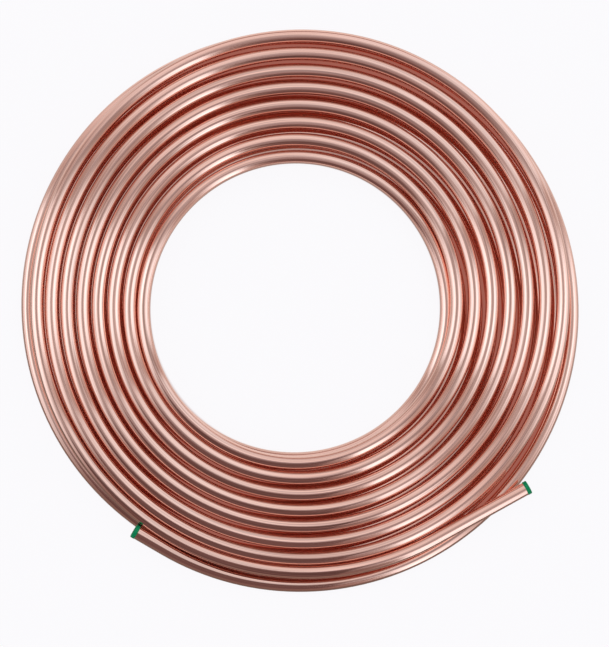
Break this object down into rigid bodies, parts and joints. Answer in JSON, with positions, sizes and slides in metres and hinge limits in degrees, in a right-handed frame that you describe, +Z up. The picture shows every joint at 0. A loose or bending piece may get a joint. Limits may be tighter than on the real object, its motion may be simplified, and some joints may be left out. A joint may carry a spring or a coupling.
{
  "type": "copper tube coil",
  "caption": "Length of soft copper tube wound into a flat two-layer coil with an open eye, both ends lying outside and closed by push-in plugs.",
  "frame": {"origin": "on the axis of the coil's eye, at the floor the lower layer lies on", "axes": "+Z up along the eye's axis; the upper end leaves the coil on the +X side, the lower end lies on the -X side, both towards -Y"},
  "size_m": [0.3985, 0.4008, 0.0203],
  "materials": {
    "copper": "bright drawn soft copper",
    "green_plastic": "moulded, slightly glossy"
  },
  "bodies": {
    "root": {"copper_tube": "copper", "upper_plug": "green_plastic", "lower_plug": "green_plastic"}
  },
  "joints": []
}
